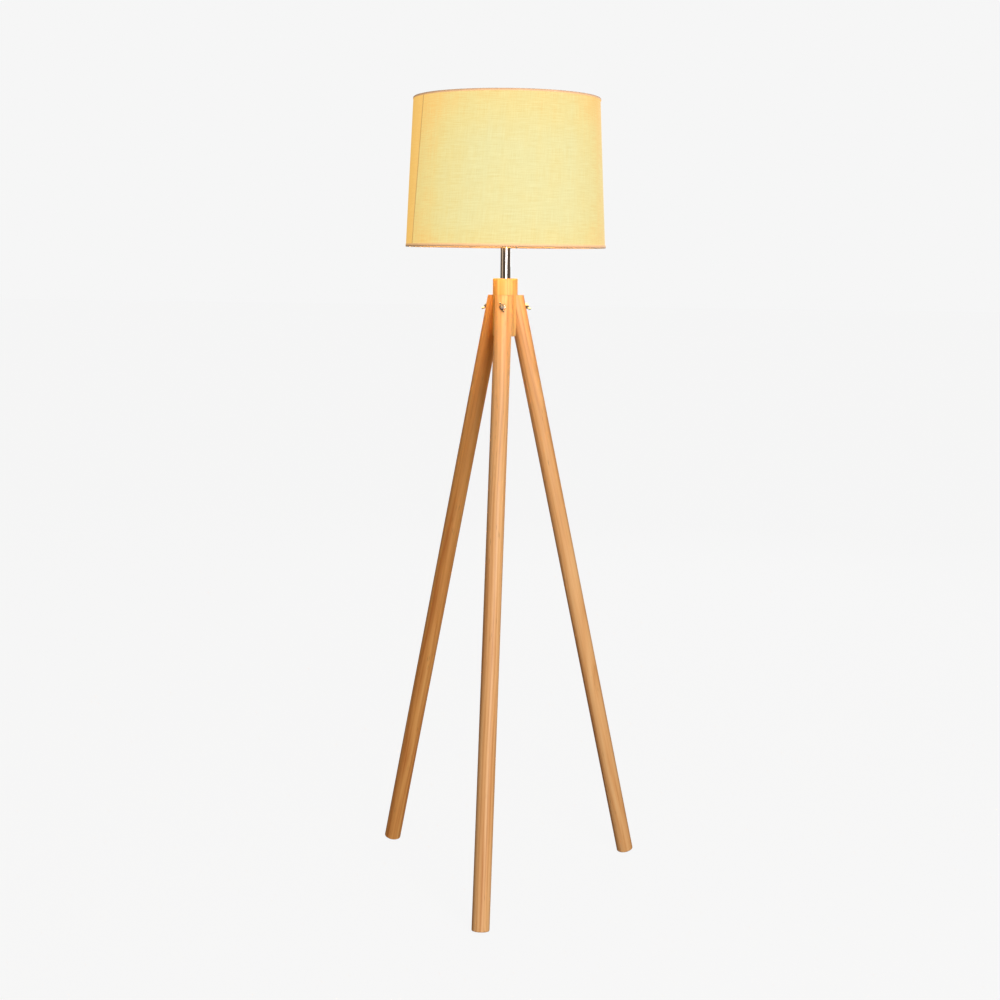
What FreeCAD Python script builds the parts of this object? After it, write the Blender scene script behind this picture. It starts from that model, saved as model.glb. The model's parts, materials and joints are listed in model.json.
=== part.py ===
# Tripod floor lamp: three dowel legs held to a turned wooden hub by studs and wing nuts, a neck tube, a
# screw lampholder with its bulb, and a tapered drum shade on a wire spider.
# Millimetres. +Z is up, the floor is z = 0, the lamp's axis is the Z axis, and one leg stands towards -Y.

import FreeCAD, Part
import math
import os
import re

import Sketcher

os.makedirs("parts", exist_ok=True)

Vector = FreeCAD.Vector
Rotation = FreeCAD.Rotation
UP = Vector(0, 0, 1)
SIDEWAYS = Vector(1, 0, 0)

# Turn of each leg about the lamp's axis from the front leg, which stands towards -Y.
LEGS = {"front": 0, "right": 120, "left": -120}

SIZES = {
    # legs
    "leg_diameter": 35,
    "leg_tilt": 13,
    "leg_axis_offset": 26.5,  # from the lamp's axis to the leg's axis, at the height of the stud
    "stud_height": 1197,
    "foot_height": 2.92,  # height of the middle of the leg's square-cut lower end
    "foot_rounding": 2,
    "leg_play": 0.1,  # between the leg's top and the shoulder over it
    "stud_clearance": 0.25,
    "spot_face_diameter": 15,
    "spot_face_offset": 42,
    # hub
    "hub_diameter": 50,
    "hub_bottom": 1138,
    "hub_length": 115,
    "hub_rounding": 2,
    "hub_flat_offset": 15.5,
    "shoulder_height": 1220,
    "pipe_clearance": 0.3,
    "nut_recess_diameter": 22,
    "nut_recess_depth": 14,
    "tube_seat_depth": 5,
    # leg fixings
    "stud_diameter": 6,
    "stud_inner_end": 6.5,
    "stud_outer_end": 52,
    "stud_tip": 0.8,
    "washer_diameter": 12,
    "washer_hole": 6.4,
    "washer_thickness": 1.6,
    "wing_span": 22,
    "wing_thickness": 2.4,
    "wing_rise": 10,
    "wing_tip_rounding": 2.6,
    "wing_root": 0.4,  # how far inside the boss's top edge a wing starts
    "wing_edge_rounding": 0.5,
    "boss_foot_diameter": 11,
    "boss_top_diameter": 8.6,
    "boss_length": 6,
    "thread_play": 0.05,
    # neck
    "tube_diameter": 20,
    "tube_wall": 1,
    "tube_top": 1322,
    "pipe_diameter": 10,
    "pipe_bore": 8,
    "pipe_bottom": 1141,
    "pipe_top": 1332,
    "pipe_washer_diameter": 20,
    "pipe_washer_thickness": 1.5,
    "pipe_nut_flats": 14,
    "pipe_nut_thickness": 3.5,
    "bushing_diameter": 14,
    "bushing_bore": 6.5,
    "bushing_bottom": 1137,
    "bushing_length": 9,
    "bushing_rounding": 1.2,
    # lampholder
    "holder_diameter": 39.5,
    "holder_wall": 2.15,
    "cap_length": 20,
    "cap_boss_diameter": 17,
    "cap_boss_length": 7,
    "cap_shoulder_height": 15,
    "cap_dome_radius": 18,
    "cap_wall": 1.8,
    "barrel_length": 38,
    "barrel_spigot": 4,
    "barrel_spigot_play": 0.1,
    "barrel_spigot_wall": 1.6,
    "barrel_flange_diameter": 46,
    "barrel_flange_height": 8,
    "barrel_flange_thickness": 2,
    "insert_diameter": 31.6,
    "insert_hollow_depth": 2,
    "insert_bottom": 1343,
    "insert_length": 12,
    "shell_bore": 26.8,
    "shell_wall": 0.4,
    "shell_length": 22,
    "shell_base_hole": 12,
    "tongue_width": 5,
    "tongue_thickness": 0.5,
    "tongue_reach": 4,
    "terminal_diameter": 5.5,
    "terminal_length": 6,
    "terminal_offset": 10.5,
    "terminal_play": 0.1,
    "set_screw_diameter": 3,
    "set_screw_length": 3.2,
    # shade ring
    "ring_diameter": 54,
    "ring_flange": 2.5,
    "ring_collar_diameter": 46,
    "ring_height": 8,
    "ring_grip_diameter": 5,
    # shade
    "shade_bottom_diameter": 400,
    "shade_top_diameter": 370,
    "shade_height": 290,
    "shade_bottom": 1314,
    "fabric_thickness": 1,
    "liner_thickness": 0.5,
    "hem_thickness": 0.6,
    "hem_outer_height": 6,
    "hem_inner_height": 5.5,
    "wire_diameter": 3,
    "wire_play": 0.05,
    "spider_ring_diameter": 62,
    "spider_ring_bore": 40.6,
    "spider_ring_thickness": 1.5,
    "spider_arm_diameter": 3.5,
    "spider_arm_start": 28.5,
    "arm_play": 0.25,
    # bulb
    "bulb_bottom": 1357.2,
    "bulb_length": 105,
    "bulb_diameter": 60,
    "bulb_neck_diameter": 27.2,
    "bulb_neck_blend": 30,
    "glass_thickness": 0.8,
    "bulb_cap_diameter": 26,
    "bulb_cap_wall": 0.35,
    "bulb_cap_start": 5,
    "bulb_cap_end": 26,
    "bulb_cap_lap": 1,  # how far the glass's foot reaches down past the cap's top
    "bulb_thread_depth": 0.9,
    "bulb_thread_pitch": 3.6,
    "bulb_contact_diameter": 9,
    "bulb_contact_height": 1.4,
    "bulb_contact_slant": 1,
    "stem_diameter": 5,
    "stem_top": 78,
    "stem_flare": 6,
    "stem_foot": 1,
    "stem_play": 0.05,
    "filament_diameter": 1.8,
    "filament_length": 34,
    "filament_offset": 8,
    "filament_start": 46,
}

THREADS_ON_CAP = 5
TERMINALS = 2
SPIDER_ARMS = 3
RING_GRIPS = 16
FILAMENTS = 4

doc = FreeCAD.newDocument("TripodFloorLamp")
sheet = doc.addObject("Spreadsheet::Sheet", "sizes")
for row, (alias, amount) in enumerate(SIZES.items(), start=1):
    sheet.set(f"A{row}", alias)
    sheet.set(f"B{row}", str(amount))
    sheet.setAlias(f"B{row}", alias)
doc.recompute()


# Expressions ---------------------------------------------------------------------------------------

def bound(expression):
    """The expression with each size written as a cell of the sheet."""
    return re.sub(r"[a-z]\w*", lambda word: f"sizes.{word[0]}" if word[0] in SIZES else word[0], expression)


def number(expression):
    """What an expression in the sheet's sizes comes to."""
    return float(sheet.evalExpression(expression))


def bind(thing, **properties):
    """Sets properties of a feature to expressions in the sheet's sizes."""
    for name, expression in properties.items():
        thing.setExpression(name, bound(expression))


# Sketches ------------------------------------------------------------------------------------------

def datum(body, role):
    """One of a body's own origin planes or axes."""
    return next(feature for feature in body.Origin.OriginFeatures if feature.Role == role)


def arc(start, end, radius):
    """The arc from start to end that turns left for a positive radius and right for a negative one."""
    chord = end - start
    rise = math.sqrt(radius**2 - (chord.Length / 2) ** 2)
    to_centre = Vector(-chord.y, chord.x, 0).normalize() * math.copysign(rise, radius)
    centre = (start + end) / 2 + to_centre
    first, last = (start, end) if radius > 0 else (end, start)
    angles = [math.atan2(point.y - centre.y, point.x - centre.x) for point in (first, last)]
    return Part.ArcOfCircle(Part.Circle(centre, UP, abs(radius)), *angles)


def outline(body, role, name, corners, offset=FreeCAD.Placement()):
    """A sketch of one closed outline on a plane of the body. Each corner is (x, y), or (x, y, radius) where
    an arc leads on to the next corner. Every corner and radius is held by an expression."""
    sketch = body.newObject("Sketcher::SketchObject", name)
    sketch.AttachmentSupport = [(datum(body, role), "")]
    sketch.MapMode = "FlatFace"
    sketch.AttachmentOffset = offset
    points = [Vector(number(corner[0]), number(corner[1]), 0) for corner in corners]
    starts, ends = [], []
    for index, corner in enumerate(corners):
        here, following = points[index], points[(index + 1) % len(points)]
        radius = number(corner[2]) if len(corner) == 3 else 0
        sketch.addGeometry(arc(here, following, radius) if radius else Part.LineSegment(here, following))
        starts.append((index, 2 if radius < 0 else 1))
        ends.append((index, 1 if radius < 0 else 2))
    for index, corner in enumerate(corners):
        sketch.addConstraint(Sketcher.Constraint("Coincident", *ends[index - 1], *starts[index]))
        for kind, axis, place in (("DistanceX", -2, corner[0]), ("DistanceY", -1, corner[1])):
            if place == "0":
                sketch.addConstraint(Sketcher.Constraint("PointOnObject", *starts[index], axis))
                continue
            held = sketch.addConstraint(Sketcher.Constraint(kind, -1, 1, *starts[index], number(place)))
            sketch.setExpression(f"Constraints[{held}]", bound(place))
        if len(corner) == 3:
            held = sketch.addConstraint(Sketcher.Constraint("Radius", index, abs(number(corner[2]))))
            sketch.setExpression(f"Constraints[{held}]", bound(f"abs({corner[2]})"))
    return sketch


def circle(body, role, name, across, up, diameter):
    """A sketch of one circle on a plane of the body."""
    sketch = body.newObject("Sketcher::SketchObject", name)
    sketch.AttachmentSupport = [(datum(body, role), "")]
    sketch.MapMode = "FlatFace"
    sketch.addGeometry(Part.Circle(Vector(number(across), number(up), 0), UP, number(diameter) / 2))
    for kind, place in (("DistanceX", across), ("DistanceY", up)):
        held = sketch.addConstraint(Sketcher.Constraint(kind, -1, 1, 0, 3, number(place)))
        sketch.setExpression(f"Constraints[{held}]", bound(place))
    held = sketch.addConstraint(Sketcher.Constraint("Diameter", 0, number(diameter)))
    sketch.setExpression(f"Constraints[{held}]", bound(diameter))
    return sketch


# Features ------------------------------------------------------------------------------------------

def new_body(name):
    body = doc.addObject("PartDesign::Body", name)
    body.Label = name
    return body


def revolve(body, kind, name, sketch, axis="V_Axis"):
    """A full Revolution or Groove about an axis or a straight edge of its own sketch."""
    made = body.newObject(f"PartDesign::{kind}", name)
    made.Profile = sketch
    made.ReferenceAxis = (sketch, [axis])
    made.Angle = 360
    return made


def extrude(body, kind, name, sketch, length=None):
    """A Pad or Pocket to both sides of its sketch, through everything where no length is given."""
    made = body.newObject(f"PartDesign::{kind}", name)
    made.Profile = sketch
    if length:
        made.SideType = "Symmetric"
        bind(made, Length=length)
    else:
        made.SideType = "Two sides"
        made.Type = made.Type2 = "ThroughAll"
    return made


def around(body, name, originals, count):
    """Copies features evenly about the body's Z axis."""
    pattern = body.newObject("PartDesign::PolarPattern", name)
    pattern.Originals = originals
    pattern.Axis = (datum(body, "Z_Axis"), [""])
    pattern.Angle = 360
    pattern.Occurrences = count
    body.Tip = pattern
    return pattern


def turned(name, corners, base="0"):
    """A body turned about the lamp's axis from its outline in radius and height, from the base height up."""
    body = new_body(name)
    revolve(body, "Revolution", f"{name}_turning", outline(body, "XZ_Plane", f"{name}_profile", corners))
    body.setExpression("Placement.Base.z", bound(base))
    return body


def ring(bore, diameter, length, rise="0"):
    """The corners of a plain ring's section."""
    top = f"{rise} + {length}"
    return [(f"{bore} / 2", rise), (f"{diameter} / 2", rise), (f"{diameter} / 2", top), (f"{bore} / 2", top)]


def facing_out(turn, outwards):
    """The place of a fixing whose own Z axis points out along a leg's stud."""
    spin = Rotation(UP, turn) * Rotation(SIDEWAYS, 90)
    return FreeCAD.Placement(spin.multVec(Vector(0, 0, outwards)) + UP * number("stud_height"), spin)


# Legs ----------------------------------------------------------------------------------------------

LEG_FOOT_OFFSET = "leg_axis_offset + (stud_height - foot_height) * tan(leg_tilt)"
FAR_OUT = "-spot_face_offset - leg_diameter"
FAR_IN = "leg_diameter"
FAR_UP = "shoulder_height + hub_diameter"
FAR_DOWN = "stud_height - hub_diameter * 2"


def leg(name, turn):
    """A dowel with its own Z axis up its middle, from the middle of its square-cut lower end."""
    body = new_body(name)
    radius, rounding = "leg_diameter / 2", "foot_rounding"
    top = "(shoulder_height - foot_height) / cos(leg_tilt) + leg_diameter"
    dowel = [
        ("0", "0"), (f"{radius} - {rounding}", "0", rounding), (radius, rounding), (radius, top), ("0", top),
    ]
    revolve(body, "Revolution", f"{name}_dowel", outline(body, "XZ_Plane", f"{name}_section", dowel))

    # The cuts are drawn upright in the plane of the tilt: x is 0 on the lamp's axis and negative outwards.
    tilt, foot, reach = math.radians(number("leg_tilt")), number("foot_height"), number(LEG_FOOT_OFFSET)
    upright = Rotation(UP, number("leg_tilt"))
    floor = upright.multVec(Vector(reach, -foot, 0))
    from_floor = FreeCAD.Placement(floor, upright)
    stud = floor + upright.multVec(Vector(0, number("stud_height"), 0))

    head = [
        ("-hub_flat_offset", FAR_DOWN), (FAR_IN, FAR_DOWN), (FAR_IN, FAR_UP), (FAR_OUT, FAR_UP),
        (FAR_OUT, "shoulder_height - leg_play"), ("-hub_flat_offset", "shoulder_height - leg_play"),
    ]
    extrude(body, "Pocket", f"{name}_head_cut", outline(body, "YZ_Plane", f"{name}_head", head, from_floor))

    low = "-foot_height * 4"
    inner, outer = f"-({LEG_FOOT_OFFSET}) + leg_diameter", f"-({LEG_FOOT_OFFSET}) - leg_diameter"
    sole = [(outer, low), (inner, low), (inner, "0"), (outer, "0")]
    extrude(body, "Pocket", f"{name}_foot_cut", outline(body, "YZ_Plane", f"{name}_foot", sole, from_floor))

    bore, spot = "stud_diameter / 2 + stud_clearance", "spot_face_diameter / 2"
    drilling = [
        ("0", "0"), ("0", bore), ("-spot_face_offset", bore), ("-spot_face_offset", spot), (FAR_OUT, spot),
        (FAR_OUT, "0"),
    ]
    on_stud = FreeCAD.Placement(stud, upright)
    drilled = outline(body, "YZ_Plane", f"{name}_stud_hole", drilling, on_stud)
    revolve(body, "Groove", f"{name}_drilling", drilled, "H_Axis")

    spin = Rotation(UP, turn)
    body.Placement = FreeCAD.Placement(
        spin.multVec(Vector(0, -reach, foot)), spin * Rotation(SIDEWAYS, -number("leg_tilt"))
    )
    return body


# Leg fixings ---------------------------------------------------------------------------------------

def leg_studs():
    """Three threaded studs that stand out of the hub, as three separate solids."""
    body = new_body("leg_studs")
    radius, inner, outer = "stud_diameter / 2", "-stud_inner_end", "-stud_outer_end"
    corners = [
        ("0", inner), ("0", outer), (f"{radius} - stud_tip", outer), (radius, f"{outer} + stud_tip"),
        (radius, inner),
    ]
    stud = revolve(body, "Revolution", "stud", outline(body, "XY_Plane", "stud_profile", corners))
    around(body, "stud_circle", [stud], len(LEGS))
    bind(body, **{"Placement.Base.z": "stud_height"})
    return body


def washer(name, turn):
    body = turned(name, ring("washer_hole", "washer_diameter", "washer_thickness"))
    body.setExpression("Placement.Base.z", None)
    body.Placement = facing_out(turn, number("spot_face_offset"))
    return body


def wing_nut(name, turn, lean):
    """A wing nut whose wings lean by so many degrees from level."""
    body = new_body(name)
    boss = [
        ("0", "0"), ("boss_foot_diameter / 2", "0"), ("boss_top_diameter / 2", "boss_length"),
        ("0", "boss_length"),
    ]
    revolve(body, "Revolution", f"{name}_boss", outline(body, "XZ_Plane", f"{name}_boss_profile", boss))
    tip, round_tip = "wing_span / 2", "wing_tip_rounding"
    wing = [
        ("boss_top_diameter / 4", "boss_length / 6"),
        (f"{tip} - {round_tip} / 2", f"wing_rise - {round_tip} * 2"),
        (tip, f"wing_rise - {round_tip}", round_tip), (f"{tip} - {round_tip}", "wing_rise", round_tip),
        (f"{tip} - {round_tip} * 2", f"wing_rise - {round_tip}"),
        ("boss_top_diameter / 2 - wing_root", "boss_length - wing_root * 2"),
        ("boss_top_diameter / 4", "boss_length / 2"),
    ]
    profile = outline(body, "XZ_Plane", f"{name}_wing_profile", wing)
    blade = extrude(body, "Pad", f"{name}_wing", profile, "wing_thickness")
    wings = around(body, f"{name}_wings", [blade], 2)
    doc.recompute()
    soft = body.newObject("PartDesign::Fillet", f"{name}_soft_edges")
    soft.Base = (wings, wing_edges(wings.Shape))
    bind(soft, Radius="wing_edge_rounding")
    bore, far = "stud_diameter / 2 + thread_play", "wing_rise * 2"
    hole = [("0", f"-{far}"), (bore, f"-{far}"), (bore, far), ("0", far)]
    revolve(body, "Groove", f"{name}_bore", outline(body, "XZ_Plane", f"{name}_bore_profile", hole))
    out = number("spot_face_offset + washer_thickness")
    body.Placement = facing_out(turn, out) * FreeCAD.Placement(Vector(), Rotation(UP, lean))
    return body


def wing_edges(shape):
    """The names of the edges round the two flat sides of each wing."""
    side, clear = number("wing_thickness / 2"), number("boss_foot_diameter / 2")
    names = []
    for index, edge in enumerate(shape.Edges, start=1):
        ends = [vertex.Point for vertex in edge.Vertexes]
        flat = all(abs(abs(point.y) - side) < 0.01 for point in ends)
        if flat and max(abs(point.x) for point in ends) > clear:
            names.append(f"Edge{index}")
    return names


# Hub and neck --------------------------------------------------------------------------------------

def hub():
    """The turned block, with a pipe hole, a seat for the neck tube, a recess for the nut and three flats."""
    radius, rounding = "hub_diameter / 2", "hub_rounding"
    pipe_hole, recess = "pipe_diameter / 2 + pipe_clearance", "nut_recess_diameter / 2"
    seat = "tube_diameter / 2 + thread_play"
    body = turned("hub", [
        (recess, "0"), (f"{radius} - {rounding}", "0", rounding), (radius, rounding),
        (radius, f"hub_length - {rounding}", rounding), (f"{radius} - {rounding}", "hub_length"),
        (seat, "hub_length"), (seat, "hub_length - tube_seat_depth"),
        (pipe_hole, "hub_length - tube_seat_depth"), (pipe_hole, "nut_recess_depth"),
        (recess, "nut_recess_depth"),
    ], "hub_bottom")
    shoulder = "shoulder_height - hub_bottom"
    flat = [
        (f"-{radius} * 2", f"-{radius}"), ("-hub_flat_offset", f"-{radius}"), ("-hub_flat_offset", shoulder),
        (f"-{radius} * 2", shoulder),
    ]
    cut = extrude(body, "Pocket", "hub_flat", outline(body, "YZ_Plane", "hub_flat_profile", flat))
    around(body, "hub_flats", [cut], len(LEGS))
    height, bore = "(stud_height - hub_bottom)", "stud_diameter / 2"
    drilling = [
        ("-stud_inner_end", height), ("-stud_inner_end", f"{height} + {bore}"),
        (f"-{radius}", f"{height} + {bore}"), (f"-{radius}", height),
    ]
    profile = outline(body, "YZ_Plane", "stud_hole_profile", drilling)
    hole = revolve(body, "Groove", "stud_hole", profile, "Edge4")
    around(body, "stud_holes", [hole], len(LEGS))
    return body


def neck_tube():
    length = "tube_top - hub_bottom - hub_length + tube_seat_depth"
    base = "hub_bottom + hub_length - tube_seat_depth"
    return turned("neck_tube", ring("(tube_diameter - 2 * tube_wall)", "tube_diameter", length), base)


def threaded_pipe():
    section = ring("pipe_bore", "pipe_diameter", "pipe_top - pipe_bottom")
    return turned("threaded_pipe", section, "pipe_bottom")


def pipe_washer():
    section = ring("(pipe_diameter + 2 * pipe_clearance)", "pipe_washer_diameter", "pipe_washer_thickness")
    return turned("pipe_washer", section, "hub_bottom + nut_recess_depth - pipe_washer_thickness")


def pipe_nut():
    """A thin hexagon nut on the pipe, below its washer."""
    across, point = "pipe_nut_flats / 2", "pipe_nut_flats / sqrt(3)"
    body = new_body("pipe_nut")
    hexagon = [
        (point, "0"), (f"{point} / 2", across), (f"-{point} / 2", across), (f"-({point})", "0"),
        (f"-{point} / 2", f"-{across}"), (f"{point} / 2", f"-{across}"),
    ]
    profile = outline(body, "XY_Plane", "hexagon_profile", hexagon)
    extrude(body, "Pad", "hexagon", profile, "pipe_nut_thickness")
    bore = "pipe_diameter / 2 + thread_play"
    hole = [
        ("0", "-pipe_nut_thickness"), (bore, "-pipe_nut_thickness"), (bore, "pipe_nut_thickness"),
        ("0", "pipe_nut_thickness"),
    ]
    revolve(body, "Groove", "pipe_nut_hole", outline(body, "XZ_Plane", "pipe_nut_hole_profile", hole))
    middle = "hub_bottom + nut_recess_depth - pipe_washer_thickness - pipe_nut_thickness / 2"
    bind(body, **{"Placement.Base.z": middle})
    return body


def cable_bushing():
    """The plastic end piece on the pipe that the cable comes out through."""
    outer, bore, socket = "bushing_diameter / 2", "bushing_bore / 2", "pipe_diameter / 2 + thread_play"
    step = "pipe_bottom - bushing_bottom"
    return turned("cable_bushing", [
        (bore, "0"), (f"{outer} - bushing_rounding", "0", "bushing_rounding"), (outer, "bushing_rounding"),
        (outer, "bushing_length"), (socket, "bushing_length"), (socket, step), (bore, step),
    ], "bushing_bottom")


# Lampholder ----------------------------------------------------------------------------------------

HOLDER_JOINT = "tube_top + cap_length"


def holder_cap():
    """The lower half of the lampholder, a dome that screws on to the pipe, with a hole for its set screw."""
    boss, thread, outer = "cap_boss_diameter / 2", "pipe_diameter / 2 + thread_play", "holder_diameter / 2"
    inside, neck = f"{outer} - cap_wall", "cap_boss_length + cap_wall"
    body = turned("holder_cap", [
        (thread, "0"), (boss, "0"), (boss, "cap_boss_length", "cap_dome_radius"),
        (outer, "cap_shoulder_height"), (outer, "cap_length"), (inside, "cap_length"),
        (inside, "cap_shoulder_height", "-(cap_dome_radius - cap_wall)"), (boss, neck), (thread, neck),
    ], "tube_top")
    middle, bore = "cap_boss_length / 2", "set_screw_diameter / 2 + thread_play"
    drilling = [("0", middle), ("0", f"{middle} + {bore}"), (boss, f"{middle} + {bore}"), (boss, middle)]
    profile = outline(body, "YZ_Plane", "set_screw_profile", drilling)
    revolve(body, "Groove", "set_screw_hole", profile, "Edge4")
    return body


def holder_barrel():
    """The upper half of the lampholder, with a flange below the thread that takes the shade ring."""
    outer, inner = "holder_diameter / 2", "holder_diameter / 2 - holder_wall"
    spigot = f"{outer} - cap_wall - barrel_spigot_play"
    pocket, step = f"{spigot} - barrel_spigot_wall", f"insert_bottom + insert_length - ({HOLDER_JOINT})"
    flange, low = "barrel_flange_diameter / 2", "barrel_flange_height"
    high = "barrel_flange_height + barrel_flange_thickness"
    return turned("holder_barrel", [
        (pocket, "-barrel_spigot"), (spigot, "-barrel_spigot"), (spigot, "0"), (outer, "0"),
        (outer, low), (flange, low), (flange, high), (outer, high), (outer, "barrel_length"),
        (inner, "barrel_length"), (inner, step), (pocket, step),
    ], HOLDER_JOINT)


def holder_insert():
    """The porcelain block that carries the contacts, with a hollow for the tongue and two terminal holes."""
    radius, hollow = "insert_diameter / 2", "shell_base_hole / 2"
    floor = "insert_length - insert_hollow_depth"
    body = turned("holder_insert", [
        ("0", "0"), (radius, "0"), (radius, "insert_length"), (hollow, "insert_length"), (hollow, floor),
        ("0", floor),
    ], "insert_bottom")
    profile = circle(body, "XY_Plane", "terminal_profile", "terminal_offset", "0",
                     "terminal_diameter + terminal_play * 2")
    hole = extrude(body, "Pocket", "terminal_hole", profile, "terminal_length * 2")
    around(body, "terminal_holes", [hole], TERMINALS)
    return body


def screw_shell():
    """The brass shell that the bulb screws into, a cup with a hole in its floor."""
    bore, wall, hole = "shell_bore / 2", "shell_wall", "shell_base_hole / 2"
    return turned("screw_shell", [
        (hole, "0"), (f"{bore} + {wall}", "0"), (f"{bore} + {wall}", "shell_length"), (bore, "shell_length"),
        (bore, wall), (hole, wall),
    ], "insert_bottom + insert_length")


def centre_contact():
    """The sprung tongue under the bulb, folded from strip."""
    body = new_body("centre_contact")
    thick, reach = "tongue_thickness", "tongue_reach"
    foot = "insert_bottom + insert_length - insert_hollow_depth"
    rise = f"(bulb_bottom - ({foot}))"
    strip = [
        (f"-{reach}", "0"), (reach, "0"), (reach, thick), (f"-{reach} + 2 * {thick}", thick),
        (f"{reach} / 2", f"{rise} - {thick}"), (f"{reach} / 2", rise), (f"-{reach}", f"2 * {thick}"),
    ]
    extrude(body, "Pad", "tongue", outline(body, "XZ_Plane", "tongue_profile", strip), "tongue_width")
    bind(body, **{"Placement.Base.z": foot})
    return body


def terminal_screws():
    """Two screws in the underside of the porcelain block."""
    body = new_body("terminal_screws")
    middle, edge = "terminal_offset", "terminal_offset + terminal_diameter / 2"
    top = "terminal_length - terminal_play * 2"
    profile = outline(body, "XZ_Plane", "terminal_screw_profile",
                      [(middle, "0"), (edge, "0"), (edge, top), (middle, top)])
    screw = revolve(body, "Revolution", "terminal_screw", profile, "Edge4")
    around(body, "terminal_screw_pair", [screw], TERMINALS)
    bind(body, **{"Placement.Base.z": "insert_bottom"})
    return body


def holder_set_screw():
    """The small screw in the cap's boss that keeps the holder from turning on its pipe."""
    body = turned("holder_set_screw", [
        ("0", "0"), ("set_screw_diameter / 2", "0"), ("set_screw_diameter / 2", "set_screw_length"),
        ("0", "set_screw_length"),
    ])
    body.setExpression("Placement.Base.z", None)
    back = Rotation(SIDEWAYS, -90)
    place = Vector(0, number("pipe_diameter / 2 + thread_play"), number("tube_top + cap_boss_length / 2"))
    body.Placement = FreeCAD.Placement(place, back)
    return body


# Shade ---------------------------------------------------------------------------------------------

SHADE_SLOPE = "(shade_bottom_diameter - shade_top_diameter) / 2 / shade_height"
FABRIC_IN = "hem_thickness"
LINER_IN = "(hem_thickness + fabric_thickness)"
WIRE_IN = "(hem_thickness + fabric_thickness + liner_thickness + wire_play + wire_diameter / 2)"
HEM_IN = "(hem_thickness * 2 + fabric_thickness + liner_thickness + 2 * wire_play + wire_diameter)"
SEAT_HEIGHT = "tube_top + cap_length + barrel_flange_height + barrel_flange_thickness"
ARM_END_HEIGHT = "hem_thickness + spider_arm_diameter / 2 + arm_play * 2"
ARM_END_IN = f"({WIRE_IN} + wire_diameter / 2 + wire_play)"
SPIDER_TURN = Rotation(UP, 90)


def wall(height, inward="0"):
    """The radius of the shade's outside at a height above its lower rim, less a distance inward."""
    return f"shade_bottom_diameter / 2 - ({height}) * {SHADE_SLOPE} - {inward}"


def skin(name, inward, thickness):
    """A layer of the shade's wall, between the two hems' folds."""
    low, high, deep = "hem_thickness", "shade_height - hem_thickness", f"({inward} + {thickness})"
    return turned(name, [
        (wall(low, deep), low), (wall(low, inward), low), (wall(high, inward), high),
        (wall(high, deep), high),
    ], "shade_bottom")


def spider_arms(body, kind, name, radius, base):
    """The spider's arms, from its flat ring out and down to the lower wire, or holes of that shape. The
    base is the height of the body's own origin."""
    top, bottom = f"{SEAT_HEIGHT} + spider_ring_thickness / 2", f"shade_bottom + {ARM_END_HEIGHT}"
    start = Vector(number("spider_arm_start"), 0, number(f"{top} - ({base})"))
    end = Vector(number(wall(ARM_END_HEIGHT, ARM_END_IN)), 0, number(f"{bottom} - ({base})"))
    arm = body.newObject(f"PartDesign::{kind}Cylinder", name)
    bind(arm, Radius=radius)
    arm.Height = (end - start).Length
    arm.Placement = FreeCAD.Placement(start, Rotation(UP, end - start))
    around(body, f"{name}s", [arm], SPIDER_ARMS)


def hem(name, at_top):
    """The strip folded round a rim of the shade, over the wire. The arms pass through the lower one."""
    rim, sign = ("shade_height", "-") if at_top else ("0", "+")
    fold, outer = f"{rim} {sign} hem_thickness", f"{rim} {sign} hem_outer_height"
    inner = f"{rim} {sign} hem_inner_height"
    corners = [
        (wall(rim, HEM_IN), rim), (wall(rim), rim), (wall(outer), outer), (wall(outer, FABRIC_IN), outer),
        (wall(fold, FABRIC_IN), fold), (wall(fold, f"({HEM_IN} - hem_thickness)"), fold),
        (wall(inner, f"({HEM_IN} - hem_thickness)"), inner), (wall(inner, HEM_IN), inner),
    ]
    body = turned(name, corners, "shade_bottom")
    if not at_top:
        spider_arms(body, "Subtractive", "arm_hole", "spider_arm_diameter / 2 + arm_play", "shade_bottom")
    body.Placement = FreeCAD.Placement(Vector(0, 0, number("shade_bottom")), SPIDER_TURN)
    return body


def rim_wire(name, at_top):
    """The wire ring inside a hem."""
    body = new_body(name)
    height = "hem_thickness + wire_diameter / 2 + wire_play"
    height = f"shade_height - {height.replace('+', '-')}" if at_top else height
    section = circle(body, "XZ_Plane", f"{name}_section", wall(height, WIRE_IN), height, "wire_diameter")
    revolve(body, "Revolution", f"{name}_ring", section)
    bind(body, **{"Placement.Base.z": "shade_bottom"})
    return body


def shade_spider():
    """A flat ring over the lampholder's flange and the arms that slope from it down to the lower wire."""
    section = ring("spider_ring_bore", "spider_ring_diameter", "spider_ring_thickness")
    body = turned("shade_spider", section, SEAT_HEIGHT)
    spider_arms(body, "Additive", "arm", "spider_arm_diameter / 2", SEAT_HEIGHT)
    body.Placement = FreeCAD.Placement(Vector(0, 0, number(SEAT_HEIGHT)), SPIDER_TURN)
    return body


def shade_ring():
    """The threaded ring that clamps the spider on the lampholder, with grip notches round its flange."""
    bore, edge, collar = "holder_diameter / 2 + thread_play", "ring_diameter / 2", "ring_collar_diameter / 2"
    body = turned("shade_ring", [
        (bore, "0"), (edge, "0"), (edge, "ring_flange"), (collar, "ring_flange"), (collar, "ring_height"),
        (bore, "ring_height"),
    ], f"{SEAT_HEIGHT} + spider_ring_thickness")
    middle = f"{edge} + ring_grip_diameter / 4"
    notch = circle(body, "XY_Plane", "grip_profile", middle, "0", "ring_grip_diameter")
    cut = extrude(body, "Pocket", "grip", notch)
    around(body, "grips", [cut], RING_GRIPS)
    return body


# Bulb ----------------------------------------------------------------------------------------------

BULB_MIDDLE = "(bulb_length - bulb_diameter / 2)"
NECK_TOP = (f"({BULB_MIDDLE} - sqrt((bulb_diameter / 2 + bulb_neck_blend)^2"
            " - (bulb_neck_diameter / 2 + bulb_neck_blend)^2))")


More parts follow.
